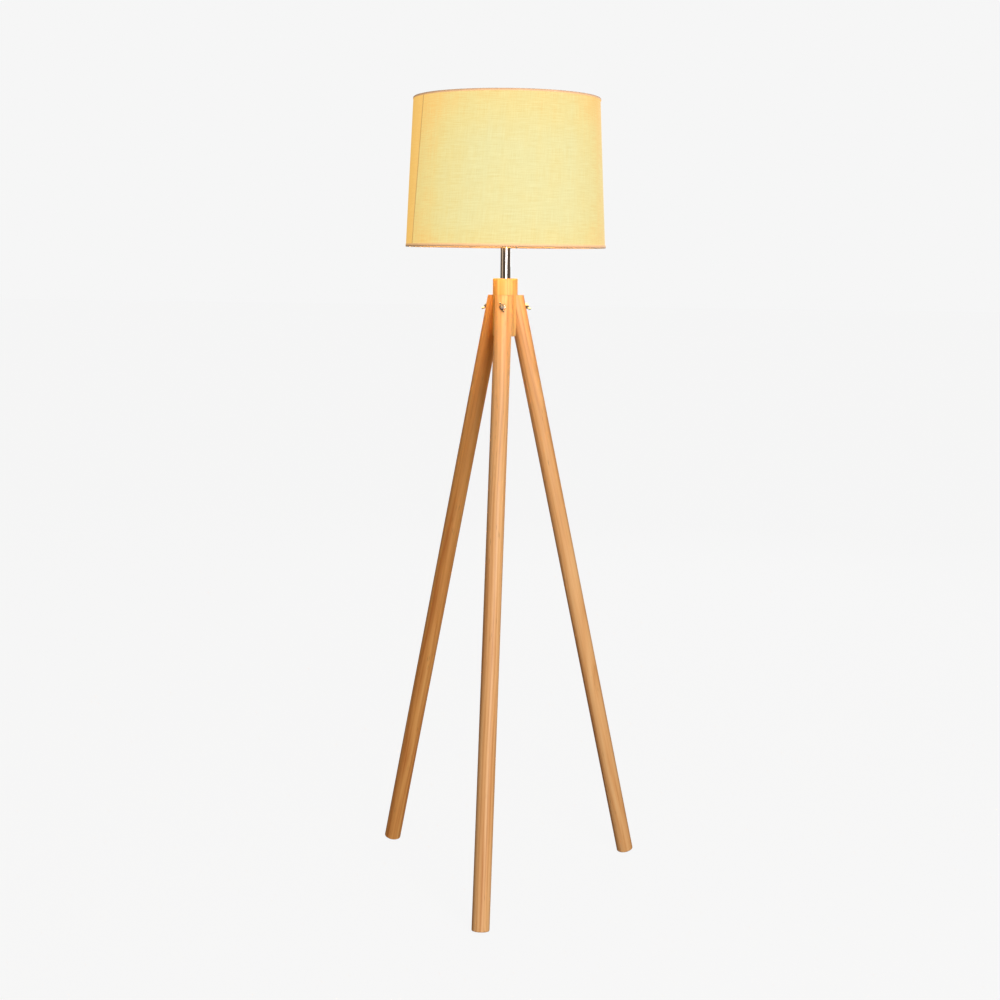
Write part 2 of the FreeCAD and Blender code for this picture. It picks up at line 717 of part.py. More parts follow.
def glass_line(inward, blend):
    """The three corners where the neck, the blend and the ball of the glass meet, less a distance inward."""
    share = "(bulb_diameter / 2) / (bulb_diameter / 2 + bulb_neck_blend)"
    shrink = f"(1 - {inward} / (bulb_diameter / 2))"
    across = f"(bulb_neck_diameter / 2 + bulb_neck_blend) * {share} * {shrink}"
    up = f"{BULB_MIDDLE} - ({BULB_MIDDLE} - {NECK_TOP}) * {share} * {shrink}"
    neck = f"bulb_neck_diameter / 2 - {inward}"
    return (neck, NECK_TOP, blend), (across, up)


def bulb_glass():
    outer_neck, outer_ball = glass_line("0", "-bulb_neck_blend")
    inner_neck, inner_ball = glass_line("glass_thickness", "0")
    foot, top = "bulb_cap_end - bulb_cap_lap", "bulb_length"
    return turned("bulb_glass", [
        (inner_neck[0], foot), (outer_neck[0], foot), outer_neck, (*outer_ball, "bulb_diameter / 2"),
        ("0", top),
        ("0", f"{top} - glass_thickness", "-(bulb_diameter / 2 - glass_thickness)"),
        (*inner_ball, "bulb_neck_blend + glass_thickness"), (inner_neck[0], NECK_TOP),
    ], "bulb_bottom")


def bulb_cap():
    """The threaded metal cap, its thread drawn as rounded ridges."""
    crest, root = "bulb_cap_diameter / 2", "bulb_cap_diameter / 2 - bulb_thread_depth"
    start, end, pitch = "bulb_cap_start", "bulb_cap_end", "bulb_thread_pitch"
    outer = [(root, start)]
    for turn in range(THREADS_ON_CAP):
        low = f"{start} + {pitch} * {turn} + {pitch} / 2"
        outer += [(root, f"{low} - {pitch} / 4"), (crest, low), (root, f"{low} + {pitch} / 4")]
    outer.append((root, end))
    inside = f"{root} - bulb_cap_wall"
    return turned("bulb_cap", outer + [(inside, end), (inside, start)], "bulb_bottom")


def bulb_insulator():
    """The black glass between the cap and the centre contact."""
    outer = "bulb_cap_diameter / 2 - bulb_thread_depth"
    contact, low = "bulb_contact_diameter / 2", "bulb_contact_height"
    return turned("bulb_insulator", [
        ("0", low), (contact, low), (outer, "bulb_cap_start"), ("0", "bulb_cap_start"),
    ], "bulb_bottom")


def bulb_contact():
    radius, tall, slant = "bulb_contact_diameter / 2", "bulb_contact_height", "bulb_contact_slant"
    section = [("0", "0"), (f"{radius} - {slant}", "0"), (radius, tall), ("0", tall)]
    return turned("bulb_contact", section, "bulb_bottom")


def bulb_stem():
    """The glass stem inside the bulb, flared to the neck at its foot."""
    foot, radius = "bulb_neck_diameter / 2 - glass_thickness - stem_play", "stem_diameter / 2"
    low = "bulb_cap_end"
    return turned("bulb_stem", [
        ("0", low), (foot, low), (foot, f"{low} + stem_foot"), (radius, f"{low} + stem_flare"),
        (radius, "stem_top"), ("0", "stem_top"),
    ], "bulb_bottom")


def bulb_filaments():
    """Upright light-giving sticks round the stem, as separate solids."""
    body = new_body("bulb_filaments")
    middle, edge = "filament_offset", "filament_offset + filament_diameter / 2"
    low, high = "filament_start", "filament_start + filament_length"
    profile = outline(body, "XZ_Plane", "filament_profile",
                      [(middle, low), (edge, low), (edge, high), (middle, high)])
    stick = revolve(body, "Revolution", "filament", profile, "Edge4")
    around(body, "filament_circle", [stick], FILAMENTS)
    bind(body, **{"Placement.Base.z": "bulb_bottom"})
    return body


# The whole lamp ------------------------------------------------------------------------------------

WING_LEANS = {"front": -65, "right": 30, "left": 150}

bodies = [hub(), leg_studs()]
for side, turn in LEGS.items():
    bodies += [leg(f"leg_{side}", turn), washer(f"washer_{side}", turn)]
    bodies.append(wing_nut(f"wing_nut_{side}", turn, WING_LEANS[side]))
bodies += [neck_tube(), threaded_pipe(), pipe_washer(), pipe_nut(), cable_bushing()]
bodies += [holder_cap(), holder_barrel(), holder_insert(), screw_shell(), centre_contact()]
bodies += [terminal_screws(), holder_set_screw(), shade_ring(), shade_spider()]
bodies.append(skin("shade_fabric", FABRIC_IN, "fabric_thickness"))
bodies.append(skin("shade_liner", LINER_IN, "liner_thickness"))
for place, at_top in (("bottom", False), ("top", True)):
    bodies += [hem(f"shade_{place}_hem", at_top), rim_wire(f"shade_{place}_wire", at_top)]
bodies += [bulb_glass(), bulb_cap(), bulb_insulator(), bulb_contact(), bulb_stem(), bulb_filaments()]
doc.recompute()

failed = [thing.Name for thing in doc.Objects if {"Invalid", "Error"} & set(thing.State)]
for body in bodies:
    if body.Shape.isNull() or not body.Shape.isValid() or not body.Shape.Solids:
        failed.append(body.Label)
if failed:
    raise SystemExit(f"these did not come out: {', '.join(failed)}")

for body in bodies:
    shape = body.Shape
    print(f"{body.Label:20s} {len(shape.Solids)} solid, {shape.Volume / 1000:9.3f} cm3,"
          f" z {shape.BoundBox.ZMin:8.2f} to {shape.BoundBox.ZMax:8.2f}")
    shape.exportStep(f"parts/{body.Label}.step")
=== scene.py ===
"""Tripod floor lamp: looks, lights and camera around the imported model. Metres, +Z up.

The lamp is lit. The shade's cloth, hems and liner are mesh pieces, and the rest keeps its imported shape.
"""

import json
import math

import bpy
import numpy as np
from mathutils import Matrix, Vector


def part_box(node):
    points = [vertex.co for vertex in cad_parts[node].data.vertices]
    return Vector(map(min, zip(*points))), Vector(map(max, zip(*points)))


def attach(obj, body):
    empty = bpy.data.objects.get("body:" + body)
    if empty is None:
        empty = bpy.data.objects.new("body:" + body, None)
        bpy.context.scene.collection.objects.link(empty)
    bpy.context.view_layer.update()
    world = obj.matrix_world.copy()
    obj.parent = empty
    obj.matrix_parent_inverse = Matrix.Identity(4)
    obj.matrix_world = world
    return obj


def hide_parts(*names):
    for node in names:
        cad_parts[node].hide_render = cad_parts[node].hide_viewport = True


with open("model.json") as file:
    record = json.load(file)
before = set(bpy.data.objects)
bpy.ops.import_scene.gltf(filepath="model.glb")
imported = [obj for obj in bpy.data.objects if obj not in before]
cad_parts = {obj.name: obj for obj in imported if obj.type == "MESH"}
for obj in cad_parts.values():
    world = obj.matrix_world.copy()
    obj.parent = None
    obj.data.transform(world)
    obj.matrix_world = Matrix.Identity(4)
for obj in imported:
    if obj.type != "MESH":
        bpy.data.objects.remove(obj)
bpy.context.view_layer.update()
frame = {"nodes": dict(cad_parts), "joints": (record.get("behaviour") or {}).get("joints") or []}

MM = 0.001
SEED = 7

NODES = frame["nodes"]
JOINTS = {joint["name"]: joint for joint in frame["joints"]}
SIDES = ("front", "right", "left")
LEG_TILT = math.radians(13)
SMOOTH_BELOW = math.radians(40)  # edges that bend less than this are shaded smooth

# The camera stands this far round to the right of the front leg, seen from above.
VIEW_TURN = math.radians(6.75)
VIEW_FROM = -math.pi / 2 + VIEW_TURN
CAMERA_DISTANCE = 3.041
CAMERA_HEIGHT = 1.290
CAMERA_PITCH = math.radians(9.11)
CAMERA_ROLL = math.radians(0.56)
CAMERA_ASIDE = math.radians(0.12)
CAMERA_LENS, CAMERA_SENSOR = 53.95, 36  # both in mm
LIGHTS_AIM = Vector((0, 0, 0.95))
PAPER_WHITE = 0.9216
ROOM_WALL = (0.14, 0.105, 0.08)
ROOM_CEILING = (0.30, 0.28, 0.26)


# Node trees ---------------------------------------------------------------------------------------

class Look:
    """A Principled material and short ways to add nodes to it. Texture places are in the row frame."""

    def __init__(self, name, **uniform):
        self.material = bpy.data.materials.new(name)
        self.material.use_nodes = True
        self.tree = self.material.node_tree
        self.shader = self.tree.nodes["Principled BSDF"]
        for socket, value in uniform.items():
            self.shader.inputs[socket.replace("_", " ")].default_value = value
        self.place = self.add("TexCoord").outputs["Object"]

    def add(self, kind, inputs=(), **settings):
        node = self.tree.nodes.new(f"ShaderNode{kind}")
        for name, value in settings.items():
            setattr(node, name, value)
        for key, value in dict(inputs).items():
            self.feed(node.inputs[key], value)
        return node

    def feed(self, socket, value):
        if isinstance(value, bpy.types.NodeSocket):
            self.tree.links.new(value, socket)
        else:
            socket.default_value = value

    def set(self, socket, value):
        self.feed(self.shader.inputs[socket], value)

    def math(self, operation, *values, clamp=False):
        return self.add("Math", enumerate(values), operation=operation, use_clamp=clamp).outputs[0]

    def vector(self, x, y, z):
        return self.add("CombineXYZ", enumerate((x, y, z))).outputs[0]

    def parts(self, vector):
        return self.add("SeparateXYZ", {0: vector}).outputs

    def scaled(self, vector, scale, shift=(0, 0, 0)):
        return self.add("Mapping", {"Vector": vector, "Scale": scale, "Location": shift}).outputs[0]

    def turned(self, vector, axis, angle):
        inputs = {"Vector": vector, "Axis": axis, "Angle": angle}
        return self.add("VectorRotate", inputs, rotation_type="AXIS_ANGLE").outputs[0]

    def noise(self, vector, scale=1.0, detail=2.0, roughness=0.5, distortion=0.0):
        inputs = {"Vector": vector, "Scale": scale, "Detail": detail, "Roughness": roughness,
                  "Distortion": distortion}
        return self.add("TexNoise", inputs).outputs[0]

    def threads(self, along, height, density, layer=0, detail=2.0, roughness=0.5):
        """Noise on unrolled cloth. density is its waves a metre along the cloth and up it."""
        place = self.vector(
            self.math("MULTIPLY", along, density[0]), self.math("MULTIPLY", height, density[1]), layer)
        return self.noise(place, 1.0, detail, roughness)

    def weighted(self, *terms, start=0.0):
        """A sum of (value, weight) pairs."""
        total = start
        for value, weight in terms:
            total = self.math("ADD", total, self.math("MULTIPLY", value, weight))
        return total

    def distance(self, x, y):
        return self.math("SQRT", self.math("ADD", self.math("MULTIPLY", x, x), self.math("MULTIPLY", y, y)))

    def spots(self, vector):
        return self.add("TexVoronoi", {"Vector": vector, "Scale": 1.0}).outputs["Distance"]

    def span(self, value, low, high, to_low=0.0, to_high=1.0, smooth=False):
        inputs = {"Value": value, "From Min": low, "From Max": high, "To Min": to_low, "To Max": to_high}
        kind = "SMOOTHSTEP" if smooth else "LINEAR"
        return self.add("MapRange", inputs, interpolation_type=kind).outputs[0]

    def ramp(self, factor, stops):
        node = self.add("ValToRGB", {"Fac": factor})
        colours = node.color_ramp.elements
        while len(colours) < len(stops):
            colours.new(0.5)
        for element, (position, colour) in zip(colours, stops):
            element.position = position
            element.color = (*colour, 1)
        return node.outputs[0]

    def mix(self, factor, first, second):
        node = self.add("Mix", data_type="RGBA", blend_type="MIX")
        for socket, value in zip((node.inputs[0], node.inputs[6], node.inputs[7]), (factor, first, second)):
            if isinstance(value, tuple) and len(value) == 3:
                value = (*value, 1)
            self.feed(socket, value)
        return node.outputs[2]

    def bump(self, height, strength, depth):
        return self.add("Bump", {"Height": height, "Strength": strength, "Distance": depth}).outputs[0]


def srgb(red, green, blue):
    """A colour given as 0 to 255 in sRGB, as the linear numbers that shaders take."""
    return tuple(
        share / 12.92 if share <= 0.04045 else ((share + 0.055) / 1.055) ** 2.4
        for share in (red / 255, green / 255, blue / 255)
    )


def dimmed(colour, share):
    """A colour, or any other three numbers, times one share."""
    return tuple(part * share for part in colour)


def wear(obj, look):
    """Puts one material on every slot of a piece."""
    obj.data.materials.clear()
    obj.data.materials.append(look.material)


# Materials ----------------------------------------------------------------------------------------

def wood(name, axis_turns, shift, tones, end_tone):
    """Straight-grained wood under a thin matt lacquer. tones are light, middle and dark.

    axis_turns bring the piece's grain upright, as (axis, angle) in turn. Texture scales are waves a metre,
    two across the grain and one along it.
    """
    look = Look(name, Roughness=0.5, Coat_Weight=0.12, Coat_Roughness=0.35, Specular_IOR_Level=0.35)
    upright, facing = look.place, look.add("TexCoord").outputs["Normal"]
    for axis, angle in axis_turns:
        upright, facing = look.turned(upright, axis, angle), look.turned(facing, axis, angle)
    upright = look.scaled(upright, (1, 1, 1), shift)

    broad = look.noise(look.scaled(upright, (55, 55, 1.1)), distortion=0.5)
    sway = look.noise(look.scaled(upright, (14, 14, 1.4)))
    x, y, z = look.parts(upright)
    layer = look.weighted((x, 260), (sway, 14), (y, 90))
    rings = look.math("POWER", look.math("PINGPONG", layer, 1.0), 1.5)
    streaks = look.noise(look.scaled(upright, (240, 240, 3.2)), detail=3, roughness=0.6)
    fibre = look.noise(look.scaled(upright, (950, 950, 12)), roughness=0.6)
    pores = look.span(look.spots(look.scaled(upright, (420, 420, 22))), 0.06, 0.20, 1.0, 0.0)
    scarce = look.span(look.noise(look.scaled(upright, (70, 70, 9))), 0.53, 0.62)
    flecks = look.math("MULTIPLY", pores, scarce)

    grain = look.weighted((broad, 0.45), (rings, 0.10), (streaks, 0.27), (fibre, 0.18))
    colour = look.ramp(grain, [(0.32, tones[0]), (0.47, tones[1]), (0.64, tones[2])])
    colour = look.mix(look.math("MULTIPLY", flecks, 0.8), colour, dimmed(tones[2], 0.32))

    # The sawn ends show rings about a pith that lies outside the piece, and are darker.
    ends = look.span(look.math("ABSOLUTE", look.parts(facing)[2]), 0.75, 0.9)
    pith_x, pith_y = -60 * MM, -30 * MM
    from_pith = look.distance(look.math("SUBTRACT", x, pith_x), look.math("SUBTRACT", y, pith_y))
    rough_ring = look.weighted((from_pith, 900), (look.noise(upright, 60), 2.0))
    ring_shade = look.math("POWER", look.math("PINGPONG", rough_ring, 1.0), 1.6)
    sawn = look.mix(ring_shade, end_tone, dimmed(end_tone, 0.72))
    look.set("Base Color", look.mix(ends, colour, sawn))
    look.set("Roughness", look.span(grain, 0.3, 0.65, 0.40, 0.54))
    look.set("Normal", look.bump(look.weighted((fibre, 0.5), (flecks, -0.8)), 0.35, 0.25 * MM))
    return look


def bright_metal(name, tint, roughness, grain=(1, 1, 1), pitting=0.0):
    """Plated metal with faint smears in its polish, and pits where it is cast."""
    look = Look(name, Metallic=1.0)
    smear = look.noise(look.scaled(look.place, dimmed(grain, 220)), detail=4, roughness=0.6)
    patch = look.noise(look.place, 45)
    look.set("Base Color", look.mix(look.span(patch, 0.3, 0.7), tint, dimmed(tint, 0.9)))
    look.set("Roughness", look.span(smear, 0.3, 0.75, roughness * 0.75, roughness * 1.5))
    pits = look.noise(look.place, 1400)
    look.set("Normal", look.bump(look.math("ADD", smear, pits), 0.05 + pitting, 0.05 * MM))
    return look


def moulded(name, tint, roughness, **uniform):
    """Moulded plastic or glazed ceramic: a fine orange-peel surface and slightly uneven colour."""
    look = Look(name, **uniform)
    patch = look.noise(look.place, 60, detail=3)
    look.set("Base Color", look.mix(look.span(patch, 0.35, 0.65), tint, dimmed(tint, 0.92)))
    look.set("Roughness", look.span(patch, 0.3, 0.7, roughness * 0.85, roughness * 1.2))
    look.set("Normal", look.bump(look.noise(look.place, 1800), 0.08, 0.04 * MM))
    return look


def round_the_shade(look):
    """The place on the shade as cloth: metres round from the seam, metres up, and share of the way up."""
    x, y, z = look.parts(look.place)
    share = look.span(z, SHADE_LOW, SHADE_HIGH)
    seam = look.span(share, 0, 1, SEAM_LOW, SEAM_HIGH)
    angle = look.math("SUBTRACT", seam, look.math("ARCTAN2", y, x))
    along = look.math("MULTIPLY", look.math("FLOORED_MODULO", angle, math.tau), SHADE_RADIUS)
    return along, look.math("MULTIPLY", share, SHADE_HIGH - SHADE_LOW), share


def linen(name, thread_tones):
    """Slubbed plain weave, with the bulb's light through it painted on as emission.

    depth runs from the palest painted glow to the deepest. The glow is deeper near both rims, at the sides,
    where the cloth lies double beside the seam, and in the thicker threads, and dimmer at the seam's free
    edge.
    The deeper sides are painted shade, fixed in the cloth, so they turn with the shade.
    """
    look = Look(name, Roughness=0.9, Specular_IOR_Level=0.15, Sheen_Weight=0.25, Sheen_Roughness=0.5)
    x, y, z = look.parts(look.place)
    along, height, share = round_the_shade(look)
    weft = look.threads(along, height, (26, 620), detail=3, roughness=0.65)
    warp = look.threads(along, height, (620, 26), layer=5, detail=3, roughness=0.65)
    over = look.math("SINE", look.math("MULTIPLY", along, math.tau / WEAVE_PITCH))
    under = look.math("SINE", look.math("MULTIPLY", height, math.tau / WEAVE_PITCH))
    threads = look.weighted((weft, 0.6), (warp, 0.4), (look.math("MULTIPLY", over, under), 0.05))
    cloudy = look.threads(along, height, (14, 14), layer=2)
    bands = look.threads(along, height, (70, 1.5), layer=8)

    # Painted shade: the glow deepens toward the sides as seen from the camera.
    from_bright = look.math("SUBTRACT", look.math("ARCTAN2", y, x), BRIGHT_SIDE)
    painted_side_shade = look.span(look.math("ABSOLUTE", look.math("SINE", from_bright)), 0.45, 1.05, 0, 1, smooth=True)
    low = look.span(share, 0.0, 0.25, 1, 0, smooth=True)
    high = look.span(share, 0.6, 1.0, 0, 1, smooth=True)
    double = look.span(along, SEAM_OVERLAP, SEAM_OVERLAP - 4 * MM, 0, 1)
    # These three vary about a half, so half of each weight comes off the start.
    uneven = ((cloudy, 0.45), (bands, 0.3), (threads, -1.2))
    start = 0.1 - sum(weight for part, weight in uneven) / 2
    depth = look.weighted((low, 0.2), (high, 0.4), (painted_side_shade, 0.5), (double, 0.48), *uneven, start=start)
    glow = look.ramp(depth, [(0.0, PAINTED_GLOW_TONES[0]), (0.42, PAINTED_GLOW_TONES[1]), (1.0, PAINTED_GLOW_TONES[2])])
    # Painted shade: the glow is dimmer along the seam's free edge.
    edge = look.span(along, 0.8 * MM, 4.0 * MM, 0.6, 1)
    thread_shade = look.math("MULTIPLY", look.span(threads, 0.34, 0.66, 0.92, 1.05), edge)
    look.set("Base Color", look.ramp(threads, [(0.3, thread_tones[0]), (0.7, thread_tones[1])]))
    look.set("Emission Color", glow)
    look.set("Emission Strength", thread_shade)
    look.set("Normal", look.bump(threads, 0.5, 0.5 * MM))
    return look


def hem_strip(name, tone):
    """The folded strip on the rims: close-woven, with a little painted glow in it, least at the fold."""
    look = Look(name, Roughness=0.85, Sheen_Weight=0.3, Sheen_Roughness=0.5)
    along, height, share = round_the_shade(look)
    weft = look.threads(along, height, (40, 1500), detail=3)
    warp = look.threads(along, height, (900, 60), layer=5, detail=3)
    threads = look.weighted((weft, 0.5), (warp, 0.5))
    colour = look.ramp(threads, [(0.3, dimmed(tone, 0.72)), (0.7, tone)])
    x, y, z = look.parts(look.place)
    wall = look.span(share, 0, 1, RADIUS_LOW, RADIUS_HIGH)
    inside = look.span(look.math("SUBTRACT", wall, look.distance(x, y)), 1.0 * MM, 2.5 * MM)
    from_rim = look.math("MULTIPLY", look.math("PINGPONG", share, 0.5), SHADE_HIGH - SHADE_LOW)
    # Painted light: the glow fades toward the rim and is left off the inner face.
    lit = look.span(from_rim, 0.8 * MM, TOP_HEM_TALL, 0.2, 0.72, smooth=True)
    lit = look.math("MULTIPLY", lit, look.span(inside, 0, 1, 1, 0))
    look.set("Base Color", look.mix(inside, colour, HEM_INSIDE_TONE))
    look.set("Emission Color", look.mix(0.5, colour, PAINTED_GLOW_TONES[2]))
    look.set("Emission Strength", look.math("MULTIPLY", lit, look.span(threads, 0.3, 0.7, 0.8, 1.15)))
    look.set("Normal", look.bump(threads, 0.6, 0.4 * MM))
    return look


def liner_film(name):
    """White film behind the cloth, with painted glow of bulb light. The weave shows through it faintly."""
    look = Look(name, Roughness=0.35, Specular_IOR_Level=0.4)
    along, height, share = round_the_shade(look)
    weave = look.threads(along, height, (500, 40))
    look.set("Base Color", look.ramp(weave, [(0.3, srgb(238, 226, 200)), (0.7, srgb(247, 238, 218))]))
    look.set("Emission Color", look.ramp(weave, [(0.3, (0.94, 0.54, 0.15)), (0.7, (0.96, 0.64, 0.21))]))
    # The painted glow also lights the hub and the legs' tops.
    look.set("Emission Strength", look.span(share, 0, 1, 1.65, 1.1))
    look.set("Normal", look.bump(weave, 0.1, 0.2 * MM))
    return look


def clear_glass(name):
    """Glass with hardly any tint, a little uneven."""
    look = Look(name, Transmission_Weight=1.0, IOR=1.45, Roughness=0.02)
    look.set("Base Color", look.mix(look.noise(look.place, 50), (1.0, 1.0, 1.0), (0.97, 0.98, 0.98)))
    return look


def lit_stick(name):
    """A light-giving stick: a row of small bright lights under one coating."""
    look = Look(name, Base_Color=(*srgb(250, 200, 90), 1), Roughness=0.5)
    x, y, z = look.parts(look.place)
    beads = look.math("PINGPONG", look.math("MULTIPLY", z, 700), 1.0)
    look.set("Emission Color", look.ramp(beads, [(0.0, srgb(255, 190, 90)), (1.0, srgb(255, 236, 180))]))
    look.set("Emission Strength", look.span(beads, 0, 1, 3.5, 6.0))
    return look


# Mesh pieces --------------------------------------------------------------------------------------

def piece(name, points, faces, body):
    """A mesh piece that rides on a CAD body. Its points are in the row frame."""
    mesh = bpy.data.meshes.new(name)
    mesh.from_pydata(points, [], faces)
    mesh.validate()
    mesh.polygons.foreach_set("use_smooth", [True] * len(mesh.polygons))
    mesh.set_sharp_from_angle(angle=SMOOTH_BELOW)
    obj = bpy.data.objects.new(name, mesh)
    bpy.context.scene.collection.objects.link(obj)
    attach(obj, body)
    return obj


def lathe(name, section, steps, body):
    """A closed section in (radius, height), counter-clockwise, turned about the lamp's axis."""
    angles = [math.tau * step / steps for step in range(steps)]
    points = [(r * math.cos(a), r * math.sin(a), z) for a in angles for r, z in section]
    count, faces = len(section), []
    for step in range(steps):
        here, following = step * count, (step + 1) % steps * count
        for index in range(count):
            beyond = (index + 1) % count
            faces.append((here + index, following + index, following + beyond, here + beyond))
    return piece(name, points, faces, body)


# The shade ----------------------------------------------------------------------------------------

cloth_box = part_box("shade_fabric")
bottom_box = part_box("shade_bottom_hem")
CLOTH_LOW, CLOTH_HIGH = cloth_box[0].z, cloth_box[1].z
SHADE_LOW, SHADE_HIGH = bottom_box[0].z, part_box("shade_top_hem")[1].z
RADIUS_LOW = (bottom_box[1].x - bottom_box[0].x) / 2
SHADE_TAPER = 15 * MM
RADIUS_HIGH = RADIUS_LOW - SHADE_TAPER
SHADE_RADIUS = (RADIUS_LOW + RADIUS_HIGH) / 2

# The seam is the cloth's free edge. It leans a little, and the other end of the cloth lies under it.
SEAM_LOW = VIEW_FROM - math.radians(66.5)
SEAM_HIGH = VIEW_FROM - math.radians(59.5)
SEAM_OVERLAP = 105 * MM
# The painted glow is palest toward here, a little to the right of the camera, and painted deeper to either
# side.
BRIGHT_SIDE = VIEW_FROM + math.radians(8)

# The cloth and the film behind it: how far each lies inside the hems' outer face, and how thick it is.
CLOTH_INSET = 0.6 * MM
CLOTH_DROP = 0.78 * MM  # how much deeper the cloth lies once past the overlap, to end under its own start
CLOTH = 0.6 * MM
FILM_INSET = 2.16 * MM
FILM = 0.5 * MM
WEAVE_PITCH = 1.1 * MM
CLOTH_ROWS, CLOTH_COLUMNS = 25, 760
TUCK_TURN = 0.35  # radians past the overlap over which the cloth goes down by that much

BOTTOM_HEM_TALL = 6 * MM
TOP_HEM_TALL = 4.5 * MM
HEM_DEEP = 6 * MM  # from the hem's outer face to its inner face
HEM_FOLD = 1.4 * MM  # the rounding where the strip turns under the rim
HEM_STRIP = 0.6 * MM  # thickness of the inner leaf
HEM_FLOOR = 1.2 * MM  # height of the hem's hollow above the rim
HEM_INNER_SHARE = 0.75  # the inner leaf's height, as a share of the outer leaf's

LINEN_TONES = ((0.13, 0.115, 0.08), (0.18, 0.16, 0.115))
HEM_TONE = srgb(222, 178, 142)
# The hem's inner face is darker than its outer face.
HEM_INSIDE_TONE = (0.40, 0.27, 0.20)
# The colours of the painted glow in the cloth: palest, middle and deepest.
PAINTED_GLOW_TONES = ((0.75, 0.69, 0.315), (0.80, 0.655, 0.235), (0.93, 0.55, 0.13))


def shade_radius(height):
    """The radius of the shade's outside at a height."""
    share = (height - SHADE_LOW) / (SHADE_HIGH - SHADE_LOW)
    return RADIUS_LOW + (RADIUS_HIGH - RADIUS_LOW) * share


def seam_angle(height):
    """The direction of the seam from the lamp's axis, at a height."""
    share = (height - SHADE_LOW) / (SHADE_HIGH - SHADE_LOW)
    return SEAM_LOW + (SEAM_HIGH - SEAM_LOW) * share


def fabric_drum():
    """One strip of cloth wound once round, from its free edge at the seam to an end under its start.

    Each column holds the points of the outer face, then those of the inner face, from low to high.
    """
    levels = np.linspace(CLOTH_LOW, CLOTH_HIGH, CLOTH_ROWS)
    overlap = SEAM_OVERLAP / SHADE_RADIUS
    turns = np.linspace(0, math.tau + overlap, CLOTH_COLUMNS)
    generator = np.random.default_rng(SEED)
    waves = [
        (generator.integers(2, 9), generator.uniform(0, math.tau), generator.uniform(0.02, 0.07))
        for _ in range(5)
    ]
    points = []
    for turn in turns:
        inset = CLOTH_INSET + CLOTH_DROP * min(1, max(0, (turn - overlap) / TUCK_TURN))
        uneven = sum(size * math.sin(count * turn + phase) for count, phase, size in waves) * MM
        for side in (0, CLOTH):
            for z in levels:
                free = math.sin(math.pi * (z - CLOTH_LOW) / (CLOTH_HIGH - CLOTH_LOW))
                r = shade_radius(z) - inset - side + uneven * free
                angle = seam_angle(z) - turn
                points.append((r * math.cos(angle), r * math.sin(angle), z))

    tall = len(levels)
    column = 2 * tall
    faces = []
    for outer in range(0, (len(turns) - 1) * column, column):
        inner = outer + tall
        for row in range(tall - 1):
            faces.append((outer + row, outer + row + 1, outer + column + row + 1, outer + column + row))
            faces.append((inner + row, inner + column + row, inner + column + row + 1, inner + row + 1))
        faces.append((outer, outer + column, inner + column, inner))
        faces.append((inner - 1, column + outer - 1, 2 * column + outer - 1, column + inner - 1))
    last = (len(turns) - 1) * column
    for row in range(tall - 1):
        faces.append((row, tall + row, tall + row + 1, row + 1))
        faces.append((last + row, last + row + 1, last + tall + row + 1, last + tall + row))
    drum = piece("fabric_drum", points, faces, "shade")
    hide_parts("shade_fabric")
    return drum


def hem(name, node, rim, towards, tall):
    """A strip folded round a rim and over its wire; towards is +1 where the shade is above the rim."""
    section = []
    for step in range(7):
        bend = math.pi / 2 * step / 6
        drop = HEM_FOLD - HEM_FOLD * math.cos(bend)
        section.append((shade_radius(rim) - HEM_FOLD + HEM_FOLD * math.sin(bend), rim + towards * drop))
    for share in (0.35, 0.7, 0.94):
        z = rim + towards * tall * share
        section.append((shade_radius(z) - 0.02 * MM, z))

    end, floor = rim + towards * tall, rim + towards * HEM_FLOOR
    inner_end = rim + towards * tall * HEM_INNER_SHARE
    rim_radius, end_radius = shade_radius(rim), shade_radius(end)
    section += [
        (end_radius - 0.22 * MM, end),
        (end_radius - 0.5 * MM, end - towards * 0.1 * MM),
        (rim_radius - 0.75 * MM, floor),
        (rim_radius - HEM_DEEP + HEM_STRIP + 0.1 * MM, floor),
        (end_radius - HEM_DEEP + HEM_STRIP + 0.1 * MM, inner_end),
        (end_radius - HEM_DEEP + 0.1 * MM, inner_end),
        (rim_radius - HEM_DEEP, rim + towards * HEM_FOLD),
        (rim_radius - HEM_DEEP + HEM_FOLD * 0.4, rim + towards * HEM_FOLD * 0.25),
        (rim_radius - HEM_DEEP + HEM_FOLD, rim),
    ]
    if towards < 0:
        section.reverse()
    strip = lathe(name, section, steps=480, body="shade")
    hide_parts(node)
    return strip


def liner():
    """The film that the cloth is laminated to, as a thin closed ring."""
    outside = [(shade_radius(z) - FILM_INSET, z) for z in np.linspace(CLOTH_LOW, CLOTH_HIGH, 5)]
    inside = [(r - FILM, z) for r, z in reversed(outside)]
    film = lathe("liner_film", outside + inside, steps=360, body="shade")
    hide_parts("shade_liner")
    return film


drum = fabric_drum()
wear(drum, linen("slubbed_linen", LINEN_TONES))
hem_look = hem_strip("hem_strip", HEM_TONE)
hems = [
    hem("bottom_hem_roll", "shade_bottom_hem", SHADE_LOW, 1, BOTTOM_HEM_TALL),
    hem("top_hem_roll", "shade_top_hem", SHADE_HIGH, -1, TOP_HEM_TALL),
]
for strip in hems:
    wear(strip, hem_look)
wear(liner(), liner_film("liner_film"))

# Finishes on the CAD pieces -----------------------------------------------------------------------

